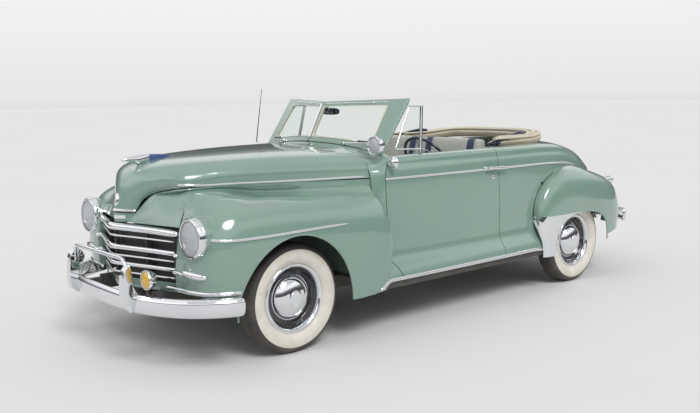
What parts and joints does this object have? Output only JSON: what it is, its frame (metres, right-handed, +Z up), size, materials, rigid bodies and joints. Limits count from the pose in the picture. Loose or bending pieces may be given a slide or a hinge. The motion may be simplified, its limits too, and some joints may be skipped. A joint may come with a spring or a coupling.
{
  "type": "convertible car",
  "caption": "Full-size post-war two-door convertible with its soft top down: doors, hood, boot lid, seat backs, steering and wheels move.",
  "frame": {"origin": "on the ground under the middle of the car's overall length", "axes": "+Y to the rear of the car, +X to its left, the driver's side, +Z up; the car faces -Y"},
  "size_m": [1.852, 5, 1.6412],
  "materials": {
    "paint": "gloss enamel",
    "chrome": "polished",
    "glass": "clear",
    "tyre": "black with a whitewall band",
    "wheel": "gloss with a bright cap",
    "chassis": "satin black",
    "engine": "cast",
    "upholstery": "matt",
    "trim": "satin",
    "canvas": "woven",
    "plastic": "gloss"
  },
  "bodies": {
    "body": {"aerial": "chrome", "chassis_frame": "chassis", "cowl": "paint", "dashboard": "trim", "engine_block": "engine", "exhaust": "chassis", "firewall": "paint", "floor_pan": "chassis", "folded_top": "canvas", "front_apron": "paint", "front_bumper": "chrome", "front_fender_left": "paint", "front_fender_right": "paint", "front_seat": "upholstery", "front_suspension": "chassis", "fuel_tank": "chassis", "grille": "chrome", "headlamp_left": "chrome", "headlamp_right": "chrome", "nose_panel": "paint", "radiator": "chassis", "rear_axle": "chassis", "rear_body": "paint", "rear_bumper": "chrome", "rear_fender_left": "paint", "rear_fender_right": "paint", "rear_seat": "upholstery", "spot_lamp": "chrome", "steering_column": "trim", "windshield_frame": "paint", "windshield_glass_left": "glass", "windshield_glass_right": "glass"},
    "door_left": {"door_left": "paint", "vent_window_left": "glass", "door_mirror": "chrome"},
    "door_right": {"door_right": "paint", "vent_window_right": "glass"},
    "hood": {"hood": "paint"},
    "trunk_lid": {"trunk_lid": "paint"},
    "seat_back_left": {"seat_back_left": "upholstery"},
    "seat_back_right": {"seat_back_right": "upholstery"},
    "steering_wheel": {"steering_wheel": "plastic"},
    "knuckle_left": {"knuckle_left": "chassis"},
    "knuckle_right": {"knuckle_right": "chassis"},
    "wheel_front_left": {"wheel_front_left": "wheel", "tyre_front_left": "tyre"},
    "wheel_front_right": {"wheel_front_right": "wheel", "tyre_front_right": "tyre"},
    "wheel_rear_left": {"wheel_rear_left": "wheel", "tyre_rear_left": "tyre"},
    "wheel_rear_right": {"wheel_rear_right": "wheel", "tyre_rear_right": "tyre"}
  },
  "joints": [
    {"name": "door_left_hinge", "type": "hinge", "parent": "body", "child": "door_left", "pos_m": [0.808, -0.745, 0.7], "axis": [0, 0, -1], "range_deg": [0, 60]},
    {"name": "door_right_hinge", "type": "hinge", "parent": "body", "child": "door_right", "pos_m": [-0.808, -0.745, 0.7], "axis": [0, 0, 1], "range_deg": [0, 60]},
    {"name": "hood_hinge", "type": "hinge", "parent": "body", "child": "hood", "pos_m": [0, -0.878, 1.258], "axis": [-1, 0, 0], "range_deg": [0, 50]},
    {"name": "trunk_lid_hinge", "type": "hinge", "parent": "body", "child": "trunk_lid", "pos_m": [0, 1.4755, 1.195], "axis": [1, 0, 0], "range_deg": [0, 60]},
    {"name": "seat_back_left_fold", "type": "hinge", "parent": "body", "child": "seat_back_left", "pos_m": [0.33, 0.378, 0.642], "axis": [1, 0, 0], "range_deg": [0, 20]},
    {"name": "seat_back_right_fold", "type": "hinge", "parent": "body", "child": "seat_back_right", "pos_m": [-0.33, 0.378, 0.642], "axis": [1, 0, 0], "range_deg": [0, 45]},
    {"name": "steer_left", "type": "hinge", "parent": "body", "child": "knuckle_left", "pos_m": [0.64, -1.536, 0.352], "axis": [0, 0, 1], "range_deg": [-30, 30]},
    {"name": "steer_right", "type": "hinge", "parent": "body", "child": "knuckle_right", "pos_m": [-0.64, -1.536, 0.352], "axis": [0, 0, 1], "range_deg": [-30, 30]},
    {"name": "steering_wheel_turn", "type": "hinge", "parent": "body", "child": "steering_wheel", "pos_m": [0.36, 0.115, 1.1], "axis": [0, 0.8192, 0.5736], "range_deg": [-550, 550]},
    {"name": "wheel_front_left_spin", "type": "hinge", "parent": "knuckle_left", "child": "wheel_front_left", "pos_m": [0.724, -1.536, 0.352], "axis": [1, 0, 0], "continuous": true},
    {"name": "wheel_front_right_spin", "type": "hinge", "parent": "knuckle_right", "child": "wheel_front_right", "pos_m": [-0.724, -1.536, 0.352], "axis": [1, 0, 0], "continuous": true},
    {"name": "wheel_rear_left_spin", "type": "hinge", "parent": "body", "child": "wheel_rear_left", "pos_m": [0.761, 1.436, 0.352], "axis": [1, 0, 0], "continuous": true},
    {"name": "wheel_rear_right_spin", "type": "hinge", "parent": "body", "child": "wheel_rear_right", "pos_m": [-0.761, 1.436, 0.352], "axis": [1, 0, 0], "continuous": true}
  ],
  "couplings": [
    {"joint": "steer_right", "follows": "steer_left", "ratio": 1},
    {"joint": "steering_wheel_turn", "follows": "steer_left", "ratio": 18}
  ]
}
